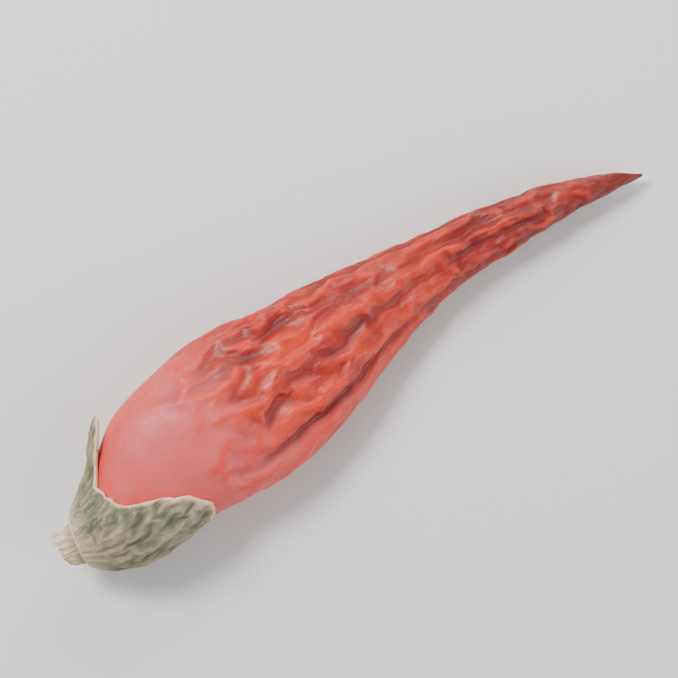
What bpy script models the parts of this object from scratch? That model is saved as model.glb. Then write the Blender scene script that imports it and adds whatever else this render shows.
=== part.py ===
"""Dried red chilli: a flattened, creased pod in a five-toothed calyx, with its stem broken off short.

The pepper lies on its side. +X runs from the stem to the tip, +Z is up, and the origin is at the
bottom centre of the whole pepper. The shapes are worked out in millimetres along the pod, from the
level of the calyx's rim, and the last step moves them to the origin and turns them to metres.
"""

import math

import bmesh
import bpy
from mathutils import Vector, noise

MM = 0.001
UP = Vector((0.0, 0.0, 1.0))

# The pod. Each station has its X, half-width, half-thickness and lean, which is a shift towards +Y.
STATIONS = (
    (-3.8, 0.0, 0.0, -0.4),
    (-3.2, 2.2, 1.8, -0.4),
    (-1.8, 3.7, 2.75, -0.3),
    (0.5, 4.95, 3.25, 0.1),
    (3.8, 6.05, 3.65, 0.4),
    (10.0, 7.0, 3.95, -0.3),
    (14.5, 6.85, 3.85, -0.7),
    (19.0, 6.05, 3.5, -0.9),
    (24.0, 4.85, 3.1, -0.8),
    (30.0, 3.5, 2.6, -0.6),
    (37.0, 2.55, 2.1, -0.4),
    (44.0, 1.75, 1.6, -0.2),
    (49.5, 0.9, 0.9, 0.0),
    (52.0, 0.12, 0.12, 0.0),
)
BASE_X = STATIONS[0][0]
TIP_X = STATIONS[-1][0]
WIDTH, THICKNESS, LEAN = 1, 2, 3

# The pod's middle line bows towards +Y in one long arch, hooks back at the tip and leans at the stem.
# The arch is this share of a half wave, and the tip starts at this share of the pod's length.
ARCH = 3.0
ARCH_SHARE = 0.92
TIP_HOOK = 2.4
TIP_START = 0.6
STEM_BEND = 0.03
# Under the calyx the pod is held off the table, and its middle line is level up to LEVEL_X. Its belly
# presses on the table, fully from the second of two Xs on, and its tip lifts from it.
LEVEL_X = 3.8
CALYX_LIFT = 0.45
BELLY_PRESS = 0.42
PRESS_XS = (2.0, 14.0)
TIP_LIFT = 3.0

# Creases that run along the pod: first and last X, the angle round the pod at each, depth and width.
# Angles are in degrees, with 0 at the +Y edge and 90 on top. Depth is a share of the radius.
CREASES = (
    (16.0, 48.0, 55.0, 68.0, 0.11, 15.0),
    (19.0, 48.0, 96.0, 110.0, 0.12, 13.0),
    (5.0, 46.0, 134.0, 156.0, 0.1, 10.0),
    (22.0, 48.0, 14.0, 16.0, 0.08, 13.0),
    (7.0, 46.0, 205.0, 218.0, 0.12, 13.0),
    (12.0, 46.0, 318.0, 330.0, 0.12, 13.0),
)
# Shallow wrinkles run along the rest of the skin. They start past the smooth shoulder, are deepest from
# the second of two Xs on, and end short of the tip.
WRINKLE_DEPTH = 0.3
WRINKLE_LENGTH = 9.0
WRINKLE_WIDTH = 2.6
WRINKLE_XS = (8.0, 20.0)
WRINKLE_FADE = 6.0

# The calyx: a cap round the pod's base, with a tooth for each of the flower's sepals. Each tooth has
# its angle round the pod, its height, half of its width in degrees, and its sharpness. Under 1 is blunt.
TEETH = (
    (18.0, 4.8, 30.0, 1.2),
    (137.0, 4.4, 52.0, 0.7),
    (206.0, 3.2, 32.0, 1.1),
    (264.0, 4.0, 32.0, 1.1),
    (322.0, 3.4, 30.0, 1.1),
)
# The first tooth stands off the pod, by this much at its tip and over this many degrees.
STAND_OFF = 0.9
STAND_OFF_WIDTH = 28.0
# The rim's X between the teeth, and how much further out it stands on the -Y side.
RIM_X = -0.6
RIM_TILT = 1.4
# The cap widens from the stem's scar up to this X, and follows the pod from there on. This share of the
# widening is a straight cone, and the rest is a round bowl.
FULL_X = 0.6
CONE_SHARE = 0.6
CALYX_GAP = 0.3
CALYX_WALL = 0.7
RIM_THINNING = 0.35
CALYX_BASE_X = -5.9
STEM_SCAR_RADIUS = 2.0

# The stem, broken off close to the calyx. It flares towards the calyx and has three low ridges, both as
# shares of its radius. The break slants, and is longest at this angle, in radians.
STEM_LENGTH = 1.2
STEM_RADIUS = 1.7
STEM_GAP = 0.3
STEM_FLARE = 0.12
STEM_RIDGE = 0.07
BREAK_SLANT = 0.4
BREAK_ANGLE = 2.4

# Puts the bottom centre of the whole pepper at the origin.
SHIFT = Vector((-21.966, -1.692, 0.0))


def smooth_step(t):
    t = min(max(t, 0.0), 1.0)
    return t * t * (3.0 - 2.0 * t)


def fade_in(x, xs):
    """From 0 at the first of two Xs to 1 at the second."""
    return smooth_step((x - xs[0]) / (xs[1] - xs[0]))


def station(x, column):
    """A column of the stations at x, on a smooth curve through them."""
    last = len(STATIONS) - 2
    i = max(0, min(last, sum(s[0] <= x for s in STATIONS) - 1))
    p0, p1, p2, p3 = (STATIONS[max(0, min(last + 1, i + k))] for k in (-1, 0, 1, 2))
    span = p2[0] - p1[0]
    t = (x - p1[0]) / span
    m1 = (p2[column] - p0[column]) / (p2[0] - p0[0]) * span
    m2 = (p3[column] - p1[column]) / (p3[0] - p1[0]) * span
    start = (1.0 + 2.0 * t) * (1.0 - t) ** 2 * p1[column] + t * (1.0 - t) ** 2 * m1
    return start + t * t * (3.0 - 2.0 * t) * p2[column] + t * t * (t - 1.0) * m2


def spine(x):
    """The pod's middle line at x."""
    t = (x - BASE_X) / (TIP_X - BASE_X)
    in_tip = max(0.0, (t - TIP_START) / (1.0 - TIP_START))
    y = ARCH * math.sin(math.pi * ARCH_SHARE * t) - TIP_HOOK * in_tip**2 + STEM_BEND * min(x, 0.0) ** 2
    thick = station(min(max(x, LEVEL_X), TIP_X), THICKNESS)
    lift = CALYX_LIFT - (CALYX_LIFT + BELLY_PRESS) * fade_in(x, PRESS_XS)
    return Vector((x, y, thick + lift + TIP_LIFT * smooth_step(0.5 * in_tip)))


def sideways(x):
    """The level direction square to the middle line at x, towards +Y."""
    along = spine(x + 0.05) - spine(x - 0.05)
    return Vector((-along.y, along.x, 0.0)).normalized()


def section_point(x, angle, wide, thick):
    """The point at an angle round an oval that stands square to the middle line at x."""
    lean = station(min(max(x, BASE_X), TIP_X), LEAN)
    return spine(x) + sideways(x) * (lean + wide * math.cos(angle)) + UP * (thick * math.sin(angle))


def crease_depth(x, angle):
    """The share of the radius that the creases take away at x and angle."""
    depth = 0.0
    for first, last, first_angle, last_angle, share, width in CREASES:
        t = (x - first) / (last - first)
        if 0.0 < t < 1.0:
            middle = math.radians(first_angle + (last_angle - first_angle) * t)
            off = math.remainder(angle - middle, math.tau) / math.radians(width)
            depth += share * smooth_step(t / 0.25) * smooth_step((1.0 - t) / 0.2) * math.exp(-off * off)
    return depth


def wrinkle(x, angle):
    """Shallow wrinkles that run along the pod, in millimetres. The shoulder has none."""
    amount = WRINKLE_DEPTH * fade_in(x, WRINKLE_XS) * smooth_step((TIP_X - x) / WRINKLE_FADE)
    round_y = station(x, WIDTH) * math.cos(angle) / WRINKLE_WIDTH
    round_z = station(x, WIDTH) * math.sin(angle) / WRINKLE_WIDTH
    return amount * noise.noise(Vector((x / WRINKLE_LENGTH, round_y, round_z)))


def skin_point(x, angle, extra=0.0):
    """A point of the pod's skin, or of a surface that stands off it by extra millimetres."""
    keep = 1.0 - crease_depth(x, angle)
    stand_off = wrinkle(x, angle) + extra
    wide = station(x, WIDTH) * keep + stand_off
    thick = station(x, THICKNESS) * keep + stand_off
    return section_point(x, angle, wide, thick)


def in_place(point):
    """The point in metres from the origin, pressed flat where it would sink into the table."""
    point = point + SHIFT
    point.z = max(point.z, 0.0)
    return point * MM


def pod_point(share, angle, middle):
    """The rings crowd towards the rounded base, where the pod widens fast."""
    if middle:
        x = BASE_X if share < 0.5 else TIP_X
        return in_place(section_point(x, angle, 0.0, 0.0))
    return in_place(skin_point(BASE_X + (TIP_X - BASE_X) * (0.006 + 0.994 * share**1.5), angle))


def rim_x(angle):
    """Where the calyx's rim stands: out at each tooth, and in between two of them."""
    x = RIM_X - RIM_TILT * math.cos(angle)
    for middle, height, half_width, sharpness in TEETH:
        off = math.remainder(angle - math.radians(middle), math.tau) / math.radians(half_width)
        if abs(off) < 1.0:
            x += height * (0.5 + 0.5 * math.cos(math.pi * off)) ** sharpness
    return x


def stand_off(x, angle):
    """How far the calyx stands off the pod at its first tooth."""
    off = math.remainder(angle - math.radians(TEETH[0][0]), math.tau) / math.radians(STAND_OFF_WIDTH)
    return STAND_OFF * math.exp(-off * off) * smooth_step((x + 1.5) / 4.5)


def calyx_outside(share, angle):
    """The outside, from the stem's scar (share 0) out to the rim (share 1)."""
    x = CALYX_BASE_X + (rim_x(angle) - CALYX_BASE_X) * share**1.4
    full_x = max(x, FULL_X)
    reach = min((x - CALYX_BASE_X) / (FULL_X - CALYX_BASE_X), 1.0)
    bowl = math.sqrt(1.0 - (1.0 - reach) ** 2)
    open_out = CONE_SHARE * reach + (1.0 - CONE_SHARE) * bowl
    cover = CALYX_GAP + CALYX_WALL * (1.0 - RIM_THINNING * share**4) + stand_off(x, angle)
    wide = STEM_SCAR_RADIUS + (station(full_x, WIDTH) + cover - STEM_SCAR_RADIUS) * open_out
    thick = STEM_SCAR_RADIUS + (station(full_x, THICKNESS) + cover - STEM_SCAR_RADIUS) * open_out
    return section_point(x, angle, wide, thick)


def calyx_inside(share, angle):
    """The inside, from the rim (share 0) to the bottom (share 1), clear of the pod all the way."""
    bottom = BASE_X + 0.05
    x = bottom + (rim_x(angle) - bottom) * (1.0 - share) ** 1.6
    dome = smooth_step((RIM_X - RIM_TILT - x) / (RIM_X - RIM_TILT - bottom))
    return skin_point(x, angle, CALYX_GAP + stand_off(x, angle)) - Vector((CALYX_GAP * dome, 0.0, 0.0))


def calyx_point(share, angle, middle):
    """The outside takes a little over half of the rings, then the surface turns in at the rim."""
    turn = 0.55
    if middle:
        return in_place(section_point(CALYX_BASE_X if share < turn else BASE_X - CALYX_GAP, 0.0, 0.0, 0.0))
    if share <= turn:
        return in_place(calyx_outside(share / turn, angle))
    return in_place(calyx_inside((share - turn) / (1.0 - turn), angle))


def stem_point(share, angle, middle):
    """A stub that carries on the calyx's line and ends in a slanting break."""
    side = sideways(CALYX_BASE_X)
    away = UP.cross(side)
    radius = STEM_RADIUS * (1.0 + STEM_FLARE * (1.0 - share) ** 2 + STEM_RIDGE * math.cos(3.0 * angle))
    foot = section_point(CALYX_BASE_X, 0.0, 0.0, 0.0)
    point = foot + away * (STEM_GAP + STEM_LENGTH * share)
    if not middle:
        point += side * (radius * math.cos(angle)) + UP * (radius * math.sin(angle))
        point += away * (BREAK_SLANT * share * math.cos(angle - BREAK_ANGLE))
    return in_place(point)


def shaped_tube(name, place, material, segments, rings):
    """Makes an object from a closed tube. place gives each vertex its point, from its share along the
    tube, its angle round it, and whether it is the middle of an end.
    """
    bm = bmesh.new()
    bmesh.ops.create_cone(
        bm, cap_ends=True, cap_tris=True, segments=segments, radius1=1.0, radius2=1.0, depth=1.0
    )
    long_edges = [e for e in bm.edges if abs(e.verts[0].co.z - e.verts[1].co.z) > 0.5]
    bmesh.ops.subdivide_edges(bm, edges=long_edges, cuts=rings - 1, use_grid_fill=True)
    for vert in bm.verts:
        across, up, along = vert.co
        vert.co = place(along + 0.5, math.atan2(up, across), math.hypot(across, up) < 0.5)
    bmesh.ops.triangulate(bm, faces=bm.faces)
    bmesh.ops.recalc_face_normals(bm, faces=bm.faces)
    mesh = bpy.data.meshes.new(name)
    bm.to_mesh(mesh)
    bm.free()
    mesh.shade_smooth()
    mesh.set_sharp_from_angle(angle=math.radians(50.0))
    mesh.materials.append(material)
    obj = bpy.data.objects.new(name, mesh)
    bpy.context.scene.collection.objects.link(obj)
    return obj


def plant_material(name, colour, roughness):
    material = bpy.data.materials.new(name)
    material.use_nodes = True
    shader = material.node_tree.nodes["Principled BSDF"]
    shader.inputs["Base Color"].default_value = (*colour, 1.0)
    shader.inputs["Roughness"].default_value = roughness
    shader.inputs["Metallic"].default_value = 0.0
    return material


def build():
    for obj in list(bpy.data.objects):
        bpy.data.objects.remove(obj)
    red_skin = plant_material("dried_red_skin", (0.42, 0.035, 0.02), 0.35)
    green_cap = plant_material("dried_green_calyx", (0.34, 0.33, 0.20), 0.75)
    pale_stem = plant_material("pale_dry_stem", (0.55, 0.46, 0.30), 0.85)
    shaped_tube("pod", pod_point, red_skin, segments=44, rings=48)
    shaped_tube("calyx", calyx_point, green_cap, segments=48, rings=20)
    shaped_tube("stem", stem_point, pale_stem, segments=14, rings=3)


build()
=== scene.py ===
"""The looks of a dried red chilli: a wrinkled, glossy pod, a grey-green calyx and a snapped stem.

The file is laid out as an add-on and run as a script. Shapes are worked out in millimetres along the
pod, from the level of the calyx's rim, in the same way as the CAD solids that they stand in for.
"""

import math

import bmesh
import bpy
import numpy as np
from bpy.props import FloatProperty, FloatVectorProperty, IntProperty, PointerProperty
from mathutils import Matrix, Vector, noise


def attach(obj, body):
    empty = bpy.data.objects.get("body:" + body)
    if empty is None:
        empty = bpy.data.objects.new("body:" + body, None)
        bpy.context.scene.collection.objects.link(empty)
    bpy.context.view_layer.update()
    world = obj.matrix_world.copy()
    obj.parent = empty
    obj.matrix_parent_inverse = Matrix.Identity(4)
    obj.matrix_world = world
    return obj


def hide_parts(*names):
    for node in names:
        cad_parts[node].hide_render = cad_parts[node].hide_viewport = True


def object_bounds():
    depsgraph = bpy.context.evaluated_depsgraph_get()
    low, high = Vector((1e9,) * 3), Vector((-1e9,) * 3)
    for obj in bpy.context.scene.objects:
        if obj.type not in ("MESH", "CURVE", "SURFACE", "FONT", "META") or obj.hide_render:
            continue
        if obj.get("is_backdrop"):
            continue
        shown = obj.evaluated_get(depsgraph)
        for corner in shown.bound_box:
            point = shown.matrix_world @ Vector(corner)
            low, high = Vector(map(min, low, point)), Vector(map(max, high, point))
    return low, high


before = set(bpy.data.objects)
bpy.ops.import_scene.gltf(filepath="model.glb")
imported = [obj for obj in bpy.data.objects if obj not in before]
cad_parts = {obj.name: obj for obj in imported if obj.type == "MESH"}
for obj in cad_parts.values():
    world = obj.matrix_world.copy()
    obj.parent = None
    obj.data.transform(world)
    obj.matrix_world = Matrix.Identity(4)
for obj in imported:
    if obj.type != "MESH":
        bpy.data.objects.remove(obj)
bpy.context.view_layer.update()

bl_info = {
    "name": "Dried chilli",
    "version": (1, 0, 0),
    "blender": (4, 5, 0),
    "location": "View3D > Sidebar > Dried chilli",
    "description": "Makes a dried red chilli pepper with its calyx and stem",
    "category": "Add Mesh",
}

MM = 0.001

# Stations along the pod: X, half-width, half-thickness and lean, which is a shift towards +Y.
STATIONS = np.array(
    (
        (-3.8, 0.0, 0.0, -0.4),
        (-3.2, 2.2, 1.8, -0.4),
        (-1.8, 3.7, 2.75, -0.3),
        (0.5, 4.95, 3.25, 0.1),
        (3.8, 6.05, 3.65, 0.4),
        (10.0, 7.0, 3.95, -0.3),
        (14.5, 6.85, 3.85, -0.7),
        (19.0, 6.05, 3.5, -0.9),
        (24.0, 4.85, 3.1, -0.8),
        (30.0, 3.5, 2.6, -0.6),
        (37.0, 2.55, 2.1, -0.4),
        (44.0, 1.75, 1.6, -0.2),
        (49.5, 0.9, 0.9, 0.0),
        (52.0, 0.12, 0.12, 0.0),
    )
)
BASE_X = STATIONS[0, 0]
TIP_X = STATIONS[-1, 0]
WIDTH, THICKNESS, LEAN = 1, 2, 3

# The pod's middle line bows towards +Y in one long arch, hooks back at the tip and leans at the stem.
# The arch is this share of a half wave, and the tip starts at this share of the pod's length.
ARCH = 3.0
ARCH_SHARE = 0.92
TIP_HOOK = 2.4
TIP_START = 0.6
STEM_BEND = 0.03
# Under the calyx the pod is held off the table, and its middle line is level up to LEVEL_X. Its belly
# presses on the table, fully from the second of two Xs on, and its tip lifts from it.
LEVEL_X = 3.8
CALYX_LIFT = 0.45
BELLY_PRESS = 0.42
PRESS_XS = (2.0, 14.0)
TIP_LIFT = 3.0
# Puts the bottom centre of the whole pepper at the origin.
SHIFT = np.array((-21.966, -1.692, 0.0))

# Creases: first and last X, the angle round the pod at each, depth as a share of the radius, width.
CREASES = (
    (16.0, 48.0, 55.0, 68.0, 0.11, 15.0),
    (19.0, 48.0, 96.0, 110.0, 0.12, 13.0),
    (5.0, 46.0, 134.0, 156.0, 0.1, 10.0),
    (22.0, 48.0, 14.0, 16.0, 0.08, 13.0),
    (7.0, 46.0, 205.0, 218.0, 0.12, 13.0),
    (12.0, 46.0, 318.0, 330.0, 0.12, 13.0),
)
# A deep fold takes away this share of the radius. The wrinkles measure folds by it, and so does the
# painted shade along the folds.
FOLD_DEPTH = 0.12
# The shoulder is smooth up to this X, and the wrinkles are full this far past it. The line between the
# two wanders by this much, and comes nearer to the calyx by this much at a deep fold.
SHOULDER_X = 6.5
WRINKLES_FULL = 10.0
SHOULDER_WANDER = 3.0
FOLD_REACH = 3.0
# The dried flesh is sunk by this much, give or take this much in broad dents.
SUNK = 0.16
DENT = 0.25
# The skin shrinks on in two rounds, first into broad folds and then into wrinkles. Each takes a share
# of the spare skin round and along the pod, and has its spacing as a multiple of the wrinkles'.
DRYING_ROUNDS = ((0.2, 0.2, 2.3), (0.32, 0.6, 1.0))

# The calyx's teeth: the angle round the pod, the height, half of the width in degrees, the sharpness.
TEETH = (
    (18.0, 4.8, 30.0, 1.2),
    (137.0, 4.4, 52.0, 0.7),
    (206.0, 3.2, 32.0, 1.1),
    (264.0, 4.0, 32.0, 1.1),
    (322.0, 3.4, 30.0, 1.1),
)
# The first tooth stands off the pod, by this much at its tip and over this many degrees.
STAND_OFF = 0.9
STAND_OFF_WIDTH = 28.0
# The rim's X between the teeth, and how much further out it stands on the -Y side.
RIM_X = -0.6
RIM_TILT = 1.4
# The cap widens from the stem's scar up to this X, and follows the pod from there on. This share of the
# widening is a straight cone, and the rest is a round bowl.
FULL_X = 0.6
CONE_SHARE = 0.6
CALYX_GAP = 0.12
RIM_THINNING = 0.55
CALYX_BASE_X = -5.9
CALYX_BOTTOM_X = BASE_X + 0.05
STEM_SCAR_RADIUS = 2.0
# The veins' half-width, and the heights of the veins, ridges, lumps and pimples on the calyx.
VEIN_WIDTH = math.radians(6.0)
VEIN_HEIGHT = 0.2
RIDGE_HEIGHT = 0.22
LUMP_HEIGHT = 0.18
PIMPLE_HEIGHT = 0.07
# The calyx's pucker: its spare leaf round and along, as shares, and the spacing.
PUCKER_ROUND = 0.07
PUCKER_ALONG = 0.025
PUCKER_SPACING = 1.1
# Colours run round the calyx at this radius.
CALYX_RADIUS = 5.0

# The stem's root is hidden in the calyx, and its broken face is sunk.
STEM_ROOT = 0.35
BREAK_SINK = 0.5


def linear(hex_colour):
    """An sRGB hex colour as linear red, green and blue."""
    channels = [int(hex_colour[i : i + 2], 16) / 255.0 for i in (1, 3, 5)]
    return [c / 12.92 if c <= 0.04045 else ((c + 0.055) / 1.055) ** 2.4 for c in channels]


def colour_property(name, description, hex_colour):
    return FloatVectorProperty(
        name=name, description=description, default=linear(hex_colour), subtype="COLOR", min=0.0, max=1.0
    )


class PodSettings(bpy.types.PropertyGroup):
    """What a user would change on the pod."""

    spare_skin: FloatProperty(
        name="Spare skin round the pod",
        description="How much too long the skin is for the dried flesh under it, round the pod",
        default=0.22,
        min=0.0,
        max=0.4,
        subtype="FACTOR",
    )
    spare_length: FloatProperty(
        name="Spare skin along the pod",
        description="How much too long the skin is for the dried flesh under it, along the pod",
        default=0.035,
        min=0.0,
        max=0.3,
        subtype="FACTOR",
    )
    wrinkle_spacing: FloatProperty(
        name="Wrinkle spacing",
        description="Distance from one wrinkle to the next where the pod is widest",
        default=1.4 * MM,
        unit="LENGTH",
        precision=5,
    )
    drying_steps: IntProperty(
        name="Drying steps", description="How many steps the wrinkling takes", default=400, min=0
    )
    red: colour_property("Red", "The skin's main colour", "#9A110D")
    # Orange is painted light on the top of the pod and on the wrinkles' ridges, and elsewhere the skin's
    # own lighter tone.
    orange: colour_property("Orange", "Where the skin is thin and light comes through", "#DA3410")
    # Pink is also painted as a highlight along the pod's -Y edge.
    pink: colour_property("Pink", "The smooth, waxy shoulder", "#D45657")
    # Wine is painted shade in the bottoms of the wrinkles and along the deep folds, and elsewhere the
    # skin's own darker red.
    wine: colour_property("Wine", "The bottoms of the wrinkles, and the tip", "#520809")


class CalyxSettings(bpy.types.PropertyGroup):
    """What a user would change on the calyx and the stem."""

    tooth_scale: FloatProperty(
        name="Tooth size",
        description="How long the calyx's teeth are, as a share of their measured height",
        default=1.0,
        min=0.0,
        max=1.2,
        subtype="FACTOR",
    )
    wall: FloatProperty(
        name="Wall", description="The calyx's thickness", default=0.75 * MM, unit="LENGTH", precision=5
    )
    stem_length: FloatProperty(
        name="Stem length",
        description="How much of the stem is left, from the calyx to the break",
        default=1.5 * MM,
        unit="LENGTH",
        precision=5,
    )
    stem_radius: FloatProperty(
        name="Stem radius", description="The stem's radius", default=1.8 * MM, unit="LENGTH", precision=5
    )
    drying_steps: IntProperty(
        name="Drying steps", description="How many steps the puckering takes", default=300, min=0
    )
    green: colour_property("Green", "The dried leaf's own colour", "#686C4E")
    grey: colour_property("Grey", "Weathered patches of the calyx", "#91846C")
    # Cream is also painted as highlights on the calyx's ridges.
    cream: colour_property("Cream", "The calyx's rim and the stem", "#E8C6A2")


class StageSettings(bpy.types.PropertyGroup):
    """What a user would change on the floor, the lights and the camera."""

    floor: colour_property("Floor", "The floor's colour", "#E9E6E2")
    roll: FloatProperty(
        name="Roll",
        description="How far the pepper is turned in the camera's view",
        default=math.radians(35.0),
        subtype="ANGLE",
    )
    view_width: FloatProperty(
        name="View width",
        description="How much of the floor the camera sees across",
        default=58.0 * MM,
        unit="LENGTH",
        precision=5,
    )
    key_power: FloatProperty(
        name="Key light", description="The main light's power", default=1.25, subtype="POWER"
    )


def smooth_step(t):
    """Eases from 0 at t = 0 to 1 at t = 1."""
    t = np.clip(t, 0.0, 1.0)
    return t * t * (3.0 - 2.0 * t)


def fade_in(x, xs):
    """From 0 at the first of two Xs to 1 at the second."""
    return smooth_step((x - xs[0]) / (xs[1] - xs[0]))


def station(x, column):
    """A column of the stations at each x, on a smooth curve through them."""
    x = np.asarray(x, float)
    last = len(STATIONS) - 2
    i = np.clip(np.searchsorted(STATIONS[:, 0], x, side="right") - 1, 0, last)
    p0, p1, p2, p3 = (STATIONS[np.clip(i + k, 0, last + 1)] for k in (-1, 0, 1, 2))
    span = p2[..., 0] - p1[..., 0]
    t = (x - p1[..., 0]) / span
    m1 = (p2[..., column] - p0[..., column]) / (p2[..., 0] - p0[..., 0]) * span
    m2 = (p3[..., column] - p1[..., column]) / (p3[..., 0] - p1[..., 0]) * span
    start = (1.0 + 2.0 * t) * (1.0 - t) ** 2 * p1[..., column] + t * (1.0 - t) ** 2 * m1
    return start + t * t * (3.0 - 2.0 * t) * p2[..., column] + t * t * (t - 1.0) * m2


def spine(x):
    """Points of the pod's middle line at each x."""
    x = np.asarray(x, float)
    t = (x - BASE_X) / (TIP_X - BASE_X)
    in_tip = np.maximum(0.0, (t - TIP_START) / (1.0 - TIP_START))
    y = ARCH * np.sin(math.pi * ARCH_SHARE * t) - TIP_HOOK * in_tip**2
    y = y + STEM_BEND * np.minimum(x, 0.0) ** 2
    thick = station(np.clip(x, LEVEL_X, TIP_X), THICKNESS)
    lift = CALYX_LIFT - (CALYX_LIFT + BELLY_PRESS) * fade_in(x, PRESS_XS)
    return np.stack((x, y, thick + lift + TIP_LIFT * smooth_step(0.5 * in_tip)), axis=-1)


def section_points(x, angle, wide, thick):
    """Points at each angle round ovals that stand square to the middle line at each x."""
    x, angle, wide, thick = np.broadcast_arrays(x, angle, wide, thick)
    along = spine(x + 0.05) - spine(x - 0.05)
    side = np.stack((-along[..., 1], along[..., 0], np.zeros_like(x)), axis=-1)
    side /= np.linalg.norm(side, axis=-1, keepdims=True)
    lean = station(np.clip(x, BASE_X, TIP_X), LEAN)
    points = spine(x) + side * (lean + wide * np.cos(angle))[..., None]
    points[..., 2] += thick * np.sin(angle)
    return points + SHIFT


def angles(segments):
    """The angles round a ring, as a row."""
    return np.linspace(0.0, math.tau, segments, endpoint=False)[None, :]


def away_from(angle, degrees):
    """How far each angle is past a direction in degrees, in radians from -pi to pi."""
    return (angle - np.radians(degrees) + math.pi) % math.tau - math.pi


def crease_depth(x, angle):
    """The share of the radius that the creases take away."""
    depth = np.zeros(np.broadcast(x, angle).shape)
    for first, last, first_angle, last_angle, share, width in CREASES:
        t = (x - first) / (last - first)
        off = away_from(angle, first_angle + (last_angle - first_angle) * t)
        ends = smooth_step(t / 0.25) * smooth_step((1.0 - t) / 0.2)
        depth += share * ends * np.exp(-((off / math.radians(width)) ** 2))
    return depth


def laid_out(x, angle, radius):
    """Points of a straight, round form, on which the noise and the colours are laid out."""
    return np.stack(np.broadcast_arrays(x, radius * np.cos(angle), radius * np.sin(angle)), axis=-1)


def noise_at(points, size, seed=0.0):
    """Smooth noise from -1 to 1 at each point, with lumps of about the given size."""
    flat = points.reshape(-1, 3) / size + seed
    return np.array([noise.noise(Vector(p)) for p in flat]).reshape(points.shape[:-1])


def normals_of(grid):
    """The outward direction at each point of a grid of rings."""
    across = np.roll(grid, -1, axis=1) - np.roll(grid, 1, axis=1)
    out = np.cross(across, np.gradient(grid, axis=0))
    return out / (np.linalg.norm(out, axis=2, keepdims=True) + 1e-9)


def blurred(values, reach, times=3):
    """A grid of rings smoothed over a few neighbours each way."""
    for _ in range(times):
        values = sum(np.roll(values, k, axis=1) for k in range(-reach, reach + 1)) / (2 * reach + 1)
        ends = [(reach, reach)] + [(0, 0)] * (values.ndim - 1)
        wide = np.pad(values, ends, mode="edge")
        rows = len(values)
        values = sum(wide[k : k + rows] for k in range(2 * reach + 1)) / (2 * reach + 1)
    return values


def hollows(grid, reach, depth):
    """How far each point lies below its neighbours: 1 at the given depth, and under 0 on a ridge. The
    colours paint shade and highlight by it.
    """
    return ((blurred(grid, reach) - grid) * normals_of(grid)).sum(axis=2) / depth


def spring(a, b, length, stiffness=1.0):
    """The pull on each a towards its b from a spring with the given length."""
    gap = b - a
    now = np.linalg.norm(gap, axis=2, keepdims=True) + 1e-9
    return gap * (stiffness * (1.0 - length[:, :, None] / now))


def wrinkled(flesh, spare_round, spare_along, spacing, steps):
    """Lets a skin that is too big for the dried flesh under it buckle into wrinkles.

    The skin is a grid of rings joined by springs, each longer than the flesh by the spare share. It
    resists bending, and weak springs hold it to the flesh. The ratio of these two sets the spacing.
    """
    # The hold on the flesh, next to a spring of the skin, and how much of it works sideways.
    hold = 0.0007
    give = 0.1
    # A spring from corner to corner of a cell, next to one along its edge.
    slant = 0.3
    # The wrinkles grow from ripples this high. Each step keeps this share of the speed.
    ripples = 0.08
    keep_speed = 0.93
    # A thin ring's points are close together, so a wrinkle takes more of them, up to this many times.
    most_points = 3.0
    out = normals_of(flesh)
    loose = (spare_round > 1e-4)[:, :, None]
    seed = blurred(np.random.default_rng(7).standard_normal(flesh.shape[:2]), 1, 2)
    skin = flesh + out * loose * seed[:, :, None] * (ripples / seed.std())

    def gaps(a, b):
        return np.linalg.norm(b - a, axis=2)

    more_round = 1.0 + 0.5 * (spare_round + np.roll(spare_round, -1, axis=1))
    more_along = 1.0 + 0.5 * (spare_along[:-1] + spare_along[1:])
    round_gap = gaps(flesh, np.roll(flesh, -1, axis=1))
    along_gap = gaps(flesh[:-1], flesh[1:])
    round_length = round_gap * more_round
    along_length = along_gap * more_along
    slant_more = np.hypot(round_length[:-1], along_length) / np.hypot(round_gap[:-1], along_gap)
    rise_length = gaps(flesh[:-1], np.roll(flesh[1:], -1, axis=1)) * slant_more
    fall_length = gaps(flesh[1:], np.roll(flesh[:-1], -1, axis=1)) * slant_more

    widest = round_gap.mean(axis=1).max()
    cells_round = spacing / widest * np.minimum(widest / round_gap.mean(axis=1), most_points)
    stiff_round = (hold * (cells_round / math.tau) ** 4)[:, None, None]
    stiff_along = hold * (spacing / along_gap.mean() / math.tau) ** 4
    curl_round = np.roll(flesh, -1, axis=1) - 2.0 * flesh + np.roll(flesh, 1, axis=1)
    curl_along = flesh[2:] - 2.0 * flesh[1:-1] + flesh[:-2]

    # The longest step at which the stiffest springs stay steady.
    step = 1.08 / math.sqrt(8.0 + 16.0 * (stiff_round.max() + stiff_along) + hold)
    speed = np.zeros_like(skin)
    for _ in range(steps):
        push = np.zeros_like(skin)
        pull = spring(skin, np.roll(skin, -1, axis=1), round_length)
        push += pull - np.roll(pull, 1, axis=1)
        pull = spring(skin[:-1], skin[1:], along_length)
        push[:-1] += pull
        push[1:] -= pull
        pull = spring(skin[:-1], np.roll(skin[1:], -1, axis=1), rise_length, slant)
        push[:-1] += pull
        push[1:] -= np.roll(pull, 1, axis=1)
        pull = spring(skin[1:], np.roll(skin[:-1], -1, axis=1), fall_length, slant)
        push[1:] += pull
        push[:-1] -= np.roll(pull, 1, axis=1)
        bend = np.roll(skin, -1, axis=1) - 2.0 * skin + np.roll(skin, 1, axis=1) - curl_round
        bend = bend * stiff_round
        push -= np.roll(bend, -1, axis=1) - 2.0 * bend + np.roll(bend, 1, axis=1)
        bend = (skin[2:] - 2.0 * skin[1:-1] + skin[:-2] - curl_along) * stiff_along
        push[2:] -= bend
        push[1:-1] += 2.0 * bend
        push[:-2] -= bend
        off = skin - flesh
        lifted = (off * out).sum(axis=2, keepdims=True) * out
        push -= hold * (lifted + give * (off - lifted))
        speed = speed * keep_speed + push * loose * step
        skin = skin + speed * step
    return skin


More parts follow.
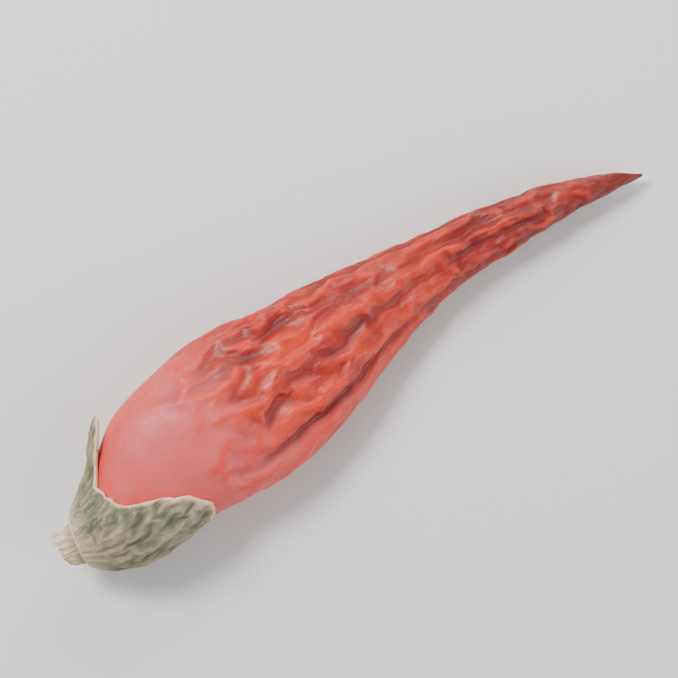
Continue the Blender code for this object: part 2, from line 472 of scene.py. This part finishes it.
def tube_mesh(name, grid, first_end, last_end, values=None):
    """A closed mesh over a grid of rings in millimetres, with a middle point at each end.

    A ring's points are a multiple of four. values gives the mesh a named number or vector at each point.
    """
    rings, segments = grid.shape[:2]
    bm = bmesh.new()
    bmesh.ops.create_cone(
        bm, cap_ends=True, cap_tris=True, segments=segments, radius1=1.0, radius2=1.0, depth=1.0
    )
    long_edges = [e for e in bm.edges if abs(e.verts[0].co.z - e.verts[1].co.z) > 0.5]
    bmesh.ops.subdivide_edges(bm, edges=long_edges, cuts=rings - 2, use_grid_fill=True)
    places = []
    for vert in bm.verts:
        across, up, along = vert.co
        ring = round((along + 0.5) * (rings - 1))
        middle = math.hypot(across, up) < 0.5
        places.append((ring, round(math.atan2(up, across) / math.tau * segments) % segments))
        point = (first_end if ring == 0 else last_end) if middle else grid[places[-1]]
        vert.co = Vector(point) * MM
    bmesh.ops.recalc_face_normals(bm, faces=bm.faces)
    mesh = bpy.data.meshes.new(name)
    bm.to_mesh(mesh)
    bm.free()
    mesh.shade_smooth()
    rows, columns = np.array(places).T
    for key, field in (values or {}).items():
        kind, slot = ("FLOAT_VECTOR", "vector") if field.ndim == 3 else ("FLOAT", "value")
        layer = mesh.attributes.new(key, kind, "POINT")
        layer.data.foreach_set(slot, field[rows, columns].astype(np.float32).ravel())
    return mesh


def add_piece(name, mesh, material, node):
    """Puts a finished mesh in the scene in place of its CAD solid."""
    mesh.materials.append(material)
    piece = bpy.data.objects.new(name, mesh)
    bpy.context.scene.collection.objects.link(piece)
    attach(piece, "root")
    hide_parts(node)
    return piece


def add_node(tree, kind, links=None, **settings):
    """Adds a shader node with its settings, and gives each input a value or another node's output."""
    node = tree.nodes.new("ShaderNode" + kind)
    for name, value in settings.items():
        setattr(node, name, value)
    for name, value in (links or {}).items():
        if isinstance(value, bpy.types.NodeSocket):
            tree.links.new(value, node.inputs[name])
        else:
            node.inputs[name].default_value = value
    return node


def new_material(name):
    """An empty node material: its tree, its shader and the material."""
    material = bpy.data.materials.new(name)
    material.use_nodes = True
    return material, material.node_tree, material.node_tree.nodes["Principled BSDF"]


def tinted(tree, colour, layers):
    """Lays tints over a colour. Each has two masks, as a value and where it fades in, and a strength."""
    for tint, place, pattern, strength in layers:
        amount = strength
        for value, nothing, full in (place, pattern):
            mask = add_node(
                tree,
                "MapRange",
                {"Value": value, "From Min": nothing, "From Max": full},
                interpolation_type="SMOOTHSTEP",
            )
            both = add_node(tree, "Math", {0: amount, 1: mask.outputs[0]}, operation="MULTIPLY")
            amount = both.outputs[0]
        mixed = add_node(tree, "Mix", {0: amount, 6: colour, 7: (*tint, 1.0)}, data_type="RGBA")
        colour = mixed.outputs[2]
    return colour


def dried_capsicum_skin(settings):
    """Dried capsicum skin: a thin, waxy, see-through wall. It gives a soft gloss and a warm inner glow."""
    material, tree, shader = new_material("dried_capsicum_skin")
    lay = add_node(tree, "Attribute", attribute_name="lay").outputs["Vector"]
    hollow_shade_and_highlight = add_node(tree, "Attribute", attribute_name="hollow_shade_and_highlight").outputs["Fac"]
    smooth = add_node(tree, "Attribute", attribute_name="smooth").outputs["Fac"]
    fold = add_node(tree, "Attribute", attribute_name="fold").outputs["Fac"]
    parts = add_node(tree, "SeparateXYZ", {"Vector": lay})
    along, across, height = parts.outputs["X"], parts.outputs["Y"], parts.outputs["Z"]

    # Each pattern's lumps have a size in millimetres, and are stretched along the pod.
    patterns = {}
    for name, size, stretch, detail in (
        ("lumps", 4.5, 2.0, 3.0),
        ("blotches", 2.6, 1.5, 4.0),
        ("bloom", 6.0, 1.4, 2.0),
        ("streaks", 0.7, 9.0, 4.0),
        ("flecks", 0.8, 1.8, 3.0),
        ("grain", 0.35, 1.6, 3.0),
        ("creases", 0.7, 4.0, 5.0),
    ):
        per_mm = (1.0 / (size * stretch), 1.0 / size, 1.0 / size)
        scaled = add_node(tree, "VectorMath", {0: lay, 1: per_mm}, operation="MULTIPLY")
        field = add_node(tree, "TexNoise", {"Vector": scaled.outputs[0], "Scale": 1.0, "Detail": detail})
        patterns[name] = field.outputs["Fac"]

    always = (along, BASE_X - 1.0, BASE_X)
    # Painted light: the pod's top and its -Y side are made lighter orange, in blotches, by this mask.
    painted_light_top = add_node(tree, "Math", {0: height, 1: across}, operation="SUBTRACT").outputs[0]
    colour = tinted(
        tree,
        (*settings.red, 1.0),
        (
            (settings.orange, (patterns["lumps"], 0.42, 0.66), always, 0.9),
            (settings.orange, (along, 7.0, 15.0), (patterns["blotches"], 0.38, 0.62), 0.7),
            # Painted light: lighter orange blotches on the pod's top and -Y side.
            (settings.orange, (painted_light_top, 2.0, 6.5), (patterns["blotches"], 0.3, 0.55), 0.6),
            (settings.pink, (smooth, 0.0, 1.0), (patterns["bloom"], 0.1, 0.45), 0.95),
            (settings.orange, (along, 3.0, -0.5), (patterns["blotches"], 0.35, 0.55), 0.6),
            # Painted highlight: a lighter pink band along the pod's -Y edge, up to x 24 to 34.
            (settings.pink, (across, -3.8, -5.2), (along, 34.0, 24.0), 0.65),
            (settings.wine, (smooth, 0.55, 0.2), (patterns["lumps"], 0.52, 0.4), 0.38),
            (settings.wine, (across, 1.0, 4.0), (along, 12.0, 20.0), 0.4),
            (settings.wine, (smooth, 0.6, 0.1), (patterns["streaks"], 0.5, 0.75), 0.4),
            (settings.wine, (along, 18.0, 42.0), always, 0.5),
            # Painted shade: darker wine along the deep folds, up to x 26 to 36.
            (settings.wine, (fold, 0.3, 1.0), (along, 36.0, 26.0), 0.4),
            # Painted shade: wine in the bottoms of the wrinkles.
            (settings.wine, (hollow_shade_and_highlight, 0.1, 1.1), always, 0.5),
            # Painted highlight: orange flecks on the wrinkles' ridges.
            (settings.orange, (hollow_shade_and_highlight, -0.1, -0.8), (patterns["flecks"], 0.35, 0.55), 0.7),
            (settings.wine, (along, 45.0, 51.0), always, 0.75),
        ),
    )
    tree.links.new(colour, shader.inputs["Base Color"])
    # The wrinkled skin's gloss is uneven, and the shoulder's wax is a little duller.
    gloss = add_node(
        tree,
        "MapRange",
        {"Value": patterns["grain"], "From Min": 0.3, "From Max": 0.75, "To Min": 0.38, "To Max": 0.6},
    )
    bloom = add_node(tree, "Math", {0: smooth, 1: 0.1, 2: gloss.outputs[0]}, operation="MULTIPLY_ADD")
    tree.links.new(bloom.outputs[0], shader.inputs["Roughness"])
    # Two sizes of fine line, which fade out on the shoulder.
    rough = add_node(tree, "MapRange", {"Value": smooth, "To Min": 0.7, "To Max": 0.1})
    small = add_node(
        tree, "Bump", {"Height": patterns["grain"], "Strength": rough.outputs[0], "Distance": 0.07 * MM}
    )
    lines = add_node(
        tree,
        "Bump",
        {
            "Height": patterns["creases"],
            "Strength": rough.outputs[0],
            "Distance": 0.22 * MM,
            "Normal": small.outputs[0],
        },
    )
    tree.links.new(lines.outputs[0], shader.inputs["Normal"])
    shader.inputs["Subsurface Weight"].default_value = 0.15
    shader.inputs["Subsurface Radius"].default_value = (1.0, 0.25, 0.12)
    shader.inputs["Subsurface Scale"].default_value = 1.5 * MM
    shader.inputs["IOR"].default_value = 1.47
    shader.inputs["Coat Weight"].default_value = 0.08
    shader.inputs["Coat Roughness"].default_value = 0.3
    return material


def dried_sepal(settings):
    """Dried sepal, a leathery leaf: matt, fibrous and grey-green, with a bleached cream edge."""
    material, tree, shader = new_material("dried_sepal")
    lay = add_node(tree, "Attribute", attribute_name="lay").outputs["Vector"]
    edge = add_node(tree, "Attribute", attribute_name="edge").outputs["Fac"]
    hollow_shade_and_highlight = add_node(tree, "Attribute", attribute_name="hollow_shade_and_highlight").outputs["Fac"]

    # Fibres run from the stem to the rim, about 0.4 mm apart. The patches are about 2 mm across, and the
    # specks about 0.4 mm. The numbers are how many fit in a millimetre along and across the fibres.
    along = add_node(tree, "SeparateXYZ", {"Vector": lay}).outputs["X"]
    patterns = {}
    for name, per_mm, detail in (
        ("fibres", (0.35, 2.4, 2.4), 5.0),
        ("patches", (0.4, 0.55, 0.55), 3.0),
        ("specks", (2.0, 3.0, 3.0), 4.0),
    ):
        scaled = add_node(tree, "VectorMath", {0: lay, 1: per_mm}, operation="MULTIPLY")
        field = add_node(tree, "TexNoise", {"Vector": scaled.outputs[0], "Scale": 1.0, "Detail": detail})
        patterns[name] = field.outputs["Fac"]

    always = (edge, -2.0, -1.0)
    colour = tinted(
        tree,
        (*settings.green, 1.0),
        (
            (settings.grey, (patterns["patches"], 0.4, 0.62), always, 0.9),
            (settings.cream, (patterns["fibres"], 0.5, 0.75), always, 0.3),
            # Painted shade: dark olive in the calyx's hollows.
            (linear("#4C4A32"), (hollow_shade_and_highlight, 0.1, 0.9), always, 0.6),
            (linear("#5A5038"), (patterns["specks"], 0.55, 0.72), always, 0.4),
            # Painted highlight: cream specks on the calyx's ridges.
            (settings.cream, (hollow_shade_and_highlight, -0.2, -0.9), (patterns["specks"], 0.35, 0.6), 0.25),
            (settings.cream, (along, -4.0, -5.8), (patterns["fibres"], 0.3, 0.6), 0.75),
            (settings.cream, (edge, 0.3, 0.8), (patterns["specks"], 0.2, 0.45), 0.95),
        ),
    )
    tree.links.new(colour, shader.inputs["Base Color"])
    bump = add_node(tree, "Bump", {"Height": patterns["fibres"], "Strength": 0.6, "Distance": 0.15 * MM})
    tree.links.new(bump.outputs[0], shader.inputs["Normal"])
    gloss = add_node(
        tree,
        "MapRange",
        {"Value": patterns["fibres"], "From Min": 0.3, "From Max": 0.7, "To Min": 0.6, "To Max": 0.8},
    )
    tree.links.new(gloss.outputs[0], shader.inputs["Roughness"])
    shader.inputs["Subsurface Weight"].default_value = 0.08
    shader.inputs["Subsurface Radius"].default_value = (0.6, 0.5, 0.2)
    shader.inputs["Subsurface Scale"].default_value = 0.8 * MM
    return material


def snapped_stem(settings):
    """Snapped dry stem: pale straw-like fibres along its side and a rough, lighter break."""
    material, tree, shader = new_material("snapped_dry_stem")
    lay = add_node(tree, "Attribute", attribute_name="lay").outputs["Vector"]
    # The stem's fibres are about 0.2 mm thick and run along it.
    scaled = add_node(tree, "VectorMath", {0: lay, 1: (0.9, 4.5, 4.5)}, operation="MULTIPLY")
    field = add_node(tree, "TexNoise", {"Vector": scaled.outputs[0], "Scale": 1.0, "Detail": 4.0})
    fibres = field.outputs["Fac"]
    root = add_node(tree, "SeparateXYZ", {"Vector": lay}).outputs["X"]
    always = (root, -2.0, -1.0)
    colour = tinted(
        tree,
        (*settings.cream, 1.0),
        (
            (linear("#A98E62"), (fibres, 0.55, 0.35), always, 0.8),
            (settings.grey, (root, 1.1, 0.0), always, 0.7),
        ),
    )
    tree.links.new(colour, shader.inputs["Base Color"])
    bump = add_node(tree, "Bump", {"Height": fibres, "Strength": 0.7, "Distance": 0.15 * MM})
    tree.links.new(bump.outputs[0], shader.inputs["Normal"])
    shader.inputs["Roughness"].default_value = 0.8
    return material


def floor_finish(settings):
    """Matt painted board, with nothing on it to draw the eye."""
    material, _, shader = new_material("matt_painted_board")
    shader.inputs["Base Color"].default_value = (*settings.floor, 1.0)
    shader.inputs["Roughness"].default_value = 0.85
    return material


def settled(points):
    """Presses points softly down to the table, so that nothing sinks below it."""
    give = 0.5
    low = points[..., 2] < give
    pressed = give * np.exp(points[..., 2] / give - 1.0)
    points[..., 2] = np.where(low, pressed, points[..., 2])
    points[..., 2] -= points[..., 2].min()
    return points


def smooth_shoulder(x, lay, fold):
    """How smooth the skin is, from 1 on the shoulder to 0 where it is fully wrinkled."""
    line = SHOULDER_X + SHOULDER_WANDER * noise_at(lay, 5.0, 2.0) - FOLD_REACH * fold
    return 1.0 - smooth_step((x - line) / WRINKLES_FULL)


def dried_skin(flesh, lay, amount, settings):
    """The pod's skin, wrinkled over its flesh by an amount from 0 to 1 at each point."""
    # The spare skin is uneven, and wrinkles that cross the pod come only in patches.
    spare_round = settings.spare_skin * amount * np.clip(0.85 + noise_at(lay, 5.0, 4.0), 0.1, 1.5)
    patches = np.clip(0.6 + 1.6 * noise_at(lay, 4.0, 9.0), 0.0, 2.0)
    spare_along = settings.spare_length * amount * patches
    steps = settings.drying_steps
    skin = flesh
    for part_round, part_along, spread in DRYING_ROUNDS:
        spacing = spread * settings.wrinkle_spacing / MM
        skin = wrinkled(skin, part_round * spare_round, part_along * spare_along, spacing, steps)
    return settled(skin)


class CHILLI_OT_pod(bpy.types.Operator):
    """Grow the pod and let its skin wrinkle as it dries"""

    bl_idname = "chilli.pod"
    bl_label = "Pod"

    def execute(self, context):
        settings = context.scene.chilli_pod
        rings, segments = 250, 168
        share = np.linspace(0.0, 1.0, rings)[:, None]
        x = BASE_X + (TIP_X - BASE_X) * (0.006 + 0.994 * share**1.2)
        angle = angles(segments)
        lay = laid_out(x, angle, station(x, WIDTH))
        crease = crease_depth(x, angle)
        smooth = smooth_shoulder(x, lay, crease / FOLD_DEPTH)
        # Past the shoulder the flesh is dented, and the skin wrinkles over it nearly up to the tip.
        amount = (1.0 - smooth) * smooth_step((TIP_X - x) / 2.5)
        sunk = amount * (SUNK - DENT * noise_at(lay * (0.45, 1.0, 1.0), 3.4))
        wide = station(x, WIDTH) * (1.0 - crease) - sunk
        thick = station(x, THICKNESS) * (1.0 - crease) - sunk
        skin = dried_skin(section_points(x, angle, wide, thick), lay, amount, settings)
        first = section_points(BASE_X, 0.0, 0.0, 0.0)
        last = section_points(TIP_X, 0.0, 0.0, 0.0)
        values = {
            "lay": lay,
            "hollow_shade_and_highlight": hollows(skin, 4, 0.2),
            "smooth": smooth,
            "fold": crease / FOLD_DEPTH,
        }
        mesh = tube_mesh("dried_pod", skin, first, last, values)
        add_piece("dried_pod", mesh, dried_capsicum_skin(settings), "pod")
        return {"FINISHED"}


def rim_x(angle, tooth_scale):
    """Where the calyx's rim stands: out at each tooth, and in between two of them, with a torn edge."""
    round_rim = np.stack((np.cos(angle), np.sin(angle), 0.0 * angle), axis=-1)
    x = RIM_X - RIM_TILT * np.cos(angle) + 0.25 * noise_at(round_rim, 0.14, 5.0)
    x = x + 0.12 * noise_at(round_rim, 0.05, 3.0)
    for middle, height, half_width, sharpness in TEETH:
        off = np.clip(away_from(angle, middle) / math.radians(half_width), -1.0, 1.0)
        x = x + tooth_scale * height * (0.5 + 0.5 * np.cos(math.pi * off)) ** sharpness
    return x


def stand_off(x, angle):
    """How far the calyx stands off the pod at its first tooth."""
    off = away_from(angle, TEETH[0][0]) / math.radians(STAND_OFF_WIDTH)
    return STAND_OFF * np.exp(-off * off) * smooth_step((x + 1.5) / 4.5)


def off_scar(x):
    """From 0 at the stem's scar, which is plain, to 1 on the rest of the calyx."""
    return smooth_step((x - CALYX_BASE_X) / (FULL_X - CALYX_BASE_X) / 0.4)


def sepal_relief(lay, angle):
    """The relief of the calyx's outside: a vein down each tooth, ridges, lumps and pimples."""
    vein = sum(np.exp(-((away_from(angle, tooth[0]) / VEIN_WIDTH) ** 2)) for tooth in TEETH)
    ridged = 0.35 - np.abs(noise_at(lay * (0.3, 1.0, 1.0), 1.0, 3.0))
    lumps = noise_at(lay, 2.2, 5.0)
    pimples = noise_at(lay * (0.6, 1.0, 1.0), 0.45, 8.0)
    return VEIN_HEIGHT * vein + RIDGE_HEIGHT * ridged + LUMP_HEIGHT * lumps + PIMPLE_HEIGHT * pimples


def calyx_outside(x, share, angle, lay, wall):
    """The outside, from the stem's scar (share 0) out to the rim (share 1)."""
    full_x = np.maximum(x, FULL_X)
    reach = np.clip((x - CALYX_BASE_X) / (FULL_X - CALYX_BASE_X), 0.0, 1.0)
    bowl = np.sqrt(1.0 - (1.0 - reach) ** 2)
    open_out = CONE_SHARE * reach + (1.0 - CONE_SHARE) * bowl
    cover = CALYX_GAP + wall * (1.0 - RIM_THINNING * share**4) + stand_off(x, angle)
    cover = cover + off_scar(x) * sepal_relief(lay, angle)
    wide = STEM_SCAR_RADIUS + (station(full_x, WIDTH) + cover - STEM_SCAR_RADIUS) * open_out
    thick = STEM_SCAR_RADIUS + (station(full_x, THICKNESS) + cover - STEM_SCAR_RADIUS) * open_out
    return section_points(x, angle, wide, thick)


def calyx_inside(x, angle):
    """The inside, clear of the pod all the way."""
    keep = 1.0 - crease_depth(x, angle)
    gap = CALYX_GAP + stand_off(x, angle)
    points = section_points(x, angle, station(x, WIDTH) * keep + gap, station(x, THICKNESS) * keep + gap)
    points[..., 0] -= CALYX_GAP * (1.0 - fade_in(x, (CALYX_BOTTOM_X, RIM_X - RIM_TILT)))
    return points


class CHILLI_OT_calyx(bpy.types.Operator):
    """Form the calyx, with a tooth, a vein and a pale edge for each sepal"""

    bl_idname = "chilli.calyx"
    bl_label = "Calyx"

    def execute(self, context):
        settings = context.scene.chilli_calyx
        segments, outer, inner = 220, 64, 26
        angle = angles(segments)
        rim = rim_x(angle, settings.tooth_scale)
        share = np.linspace(0.0, 1.0, outer)[:, None]
        x = CALYX_BASE_X + (rim - CALYX_BASE_X) * share**1.2
        lay = laid_out(x, angle, CALYX_RADIUS)
        outside = calyx_outside(x, share, angle, lay, settings.wall / MM)
        # The leaf puckers everywhere but at its rim and its scar.
        loose = off_scar(x) * smooth_step((1.02 - share) / 0.12)
        steps = settings.drying_steps
        outside = wrinkled(outside, PUCKER_ROUND * loose, PUCKER_ALONG * loose, PUCKER_SPACING, steps)
        down = np.linspace(0.0, 1.0, inner + 1)[1:, None]
        x_in = CALYX_BOTTOM_X + (rim - CALYX_BOTTOM_X) * (1.0 - down) ** 1.6
        grid = settled(np.concatenate((outside, calyx_inside(x_in, angle))))
        # The pale edge is ragged along the rim, and there is a little of it round the stem's scar.
        scar = 0.8 * (1.0 - smooth_step((x - CALYX_BASE_X) / 0.5))
        torn = share**18 + 0.3 * share**6 * noise_at(lay, 0.7, 6.0)
        lip = np.broadcast_to((1.0 - down) ** 3, x_in.shape)
        values = {
            "lay": np.concatenate((lay, laid_out(x_in, angle, CALYX_RADIUS))),
            "hollow_shade_and_highlight": hollows(grid, 2, 0.1),
            "edge": np.concatenate((np.maximum(torn, scar), lip)),
        }
        first = section_points(CALYX_BASE_X, 0.0, 0.0, 0.0)
        last = section_points(BASE_X - CALYX_GAP, 0.0, 0.0, 0.0)
        mesh = tube_mesh("dried_calyx", grid, first, last, values)
        add_piece("dried_calyx", mesh, dried_sepal(settings), "calyx")
        return {"FINISHED"}


class CHILLI_OT_stem(bpy.types.Operator):
    """Snap the stem off short, with its fibres standing out of the break"""

    bl_idname = "chilli.stem"
    bl_label = "Stem"

    def execute(self, context):
        settings = context.scene.chilli_calyx
        rings, segments = 30, 96
        share = np.linspace(0.0, 1.0, rings)[:, None]
        angle = angles(segments)
        radius = settings.stem_radius / MM
        length = settings.stem_length / MM
        near = section_points(CALYX_BASE_X, 0.0, 0.0, 0.0)
        far = section_points(CALYX_BASE_X - 0.1, 0.0, 0.0, 0.0)
        away = (far - near) / np.linalg.norm(far - near)
        side = np.array((-away[1], away[0], 0.0))
        side /= np.linalg.norm(side)
        up = np.cross(away, side)
        ring = np.stack(np.broadcast_arrays(np.cos(angle), np.sin(angle), share), axis=-1)
        ridges = noise_at(ring * (1.0, 1.0, 0.25), 0.16, 1.0)
        # The stub flares towards the calyx, is ridged and lightly three-sided, and narrows at the break.
        size = radius * (0.94 + 0.22 * (1.0 - share) ** 3 + 0.07 * ridges + 0.05 * np.cos(3.0 * angle))
        size = size * (1.0 - 0.1 * smooth_step((share - 0.75) / 0.25))
        torn = noise_at(ring * (1.0, 1.0, 0.0), 0.28, 6.0)
        # The break is torn and slants.
        reach = -STEM_ROOT + (length + STEM_ROOT) * share
        reach = reach + share**3 * (0.35 * torn + 0.25 * np.cos(angle - 2.4))
        grid = near + away * reach[..., None] + side * (size * np.cos(angle))[..., None]
        grid = grid + up * (size * np.sin(angle))[..., None]
        first = near - away * STEM_ROOT
        last = near + away * (length - BREAK_SINK)
        lay = laid_out(reach, angle, size)
        mesh = tube_mesh("snapped_stem", grid, first, last, {"lay": lay})
        add_piece("snapped_stem", mesh, snapped_stem(settings), "stem")
        return {"FINISHED"}


class CHILLI_OT_stage(bpy.types.Operator):
    """Set up the floor, the lights and the camera"""

    bl_idname = "chilli.stage"
    bl_label = "Stage"

    def execute(self, context):
        settings = context.scene.chilli_stage
        low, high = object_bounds()
        middle = (low + high) / 2.0
        bm = bmesh.new()
        bmesh.ops.create_grid(bm, x_segments=1, y_segments=1, size=1.0)
        mesh = bpy.data.meshes.new("floor")
        bm.to_mesh(mesh)
        bm.free()
        mesh.materials.append(floor_finish(settings))
        floor = bpy.data.objects.new("floor", mesh)
        context.scene.collection.objects.link(floor)
        floor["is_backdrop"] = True

        data = bpy.data.cameras.new("camera")
        data.lens = 100.0
        camera = bpy.data.objects.new("camera", data)
        context.scene.collection.objects.link(camera)
        distance = settings.view_width * data.lens / data.sensor_width
        camera.location = (middle.x, middle.y, middle.z + distance)
        camera.rotation_euler = (0.0, 0.0, -settings.roll)
        data.clip_start = 0.01
        context.scene.camera = camera

        across = Vector((math.cos(settings.roll), -math.sin(settings.roll), 0.0))
        up_page = Vector((math.sin(settings.roll), math.cos(settings.roll), 0.0))
        # Each light's place is right of the pepper, up the page and over it, then its size and power.
        lights = (
            ("key", -0.16, 0.14, 0.24, 0.10, settings.key_power),
            ("fill", 0.24, -0.10, 0.14, 0.22, 0.4 * settings.key_power),
            ("rim", 0.05, 0.26, 0.12, 0.14, 0.3 * settings.key_power),
        )
        for name, right, ahead, height, size, power in lights:
            light = bpy.data.lights.new(name, "AREA")
            light.size = size
            light.energy = power
            lamp = bpy.data.objects.new(name, light)
            context.scene.collection.objects.link(lamp)
            lamp.location = middle + across * right + up_page * ahead + Vector((0.0, 0.0, height))
            lamp.rotation_euler = (middle - lamp.location).to_track_quat("-Z", "Y").to_euler()
        world = bpy.data.worlds.new("soft_room")
        world.use_nodes = True
        sky = world.node_tree.nodes["Background"]
        sky.inputs["Color"].default_value = (0.9, 0.93, 1.0, 1.0)
        sky.inputs["Strength"].default_value = 0.5
        context.scene.world = world
        return {"FINISHED"}


class CHILLI_PT_sidebar(bpy.types.Panel):
    """The chilli's pieces and their settings"""

    bl_idname = "CHILLI_PT_sidebar"
    bl_label = "Dried chilli"
    bl_space_type = "VIEW_3D"
    bl_region_type = "UI"
    bl_category = "Dried chilli"

    def draw(self, context):
        for name in ("pod", "calyx", "stem", "stage"):
            box = self.layout.box()
            box.operator("chilli." + name)
            group = "chilli_" + name
            if hasattr(context.scene, group):
                settings = getattr(context.scene, group)
                for key in settings.__annotations__:
                    box.prop(settings, key)


CLASSES = (
    PodSettings,
    CalyxSettings,
    StageSettings,
    CHILLI_OT_pod,
    CHILLI_OT_calyx,
    CHILLI_OT_stem,
    CHILLI_OT_stage,
    CHILLI_PT_sidebar,
)


def register():
    for cls in CLASSES:
        bpy.utils.register_class(cls)
    bpy.types.Scene.chilli_pod = PointerProperty(type=PodSettings)
    bpy.types.Scene.chilli_calyx = PointerProperty(type=CalyxSettings)
    bpy.types.Scene.chilli_stage = PointerProperty(type=StageSettings)


def unregister():
    for name in ("chilli_pod", "chilli_calyx", "chilli_stage"):
        delattr(bpy.types.Scene, name)
    for cls in reversed(CLASSES):
        bpy.utils.unregister_class(cls)


def main():
    register()
    bpy.ops.chilli.pod()
    bpy.ops.chilli.calyx()
    bpy.ops.chilli.stem()
    bpy.ops.chilli.stage()


if __name__ == "__main__":
    main()
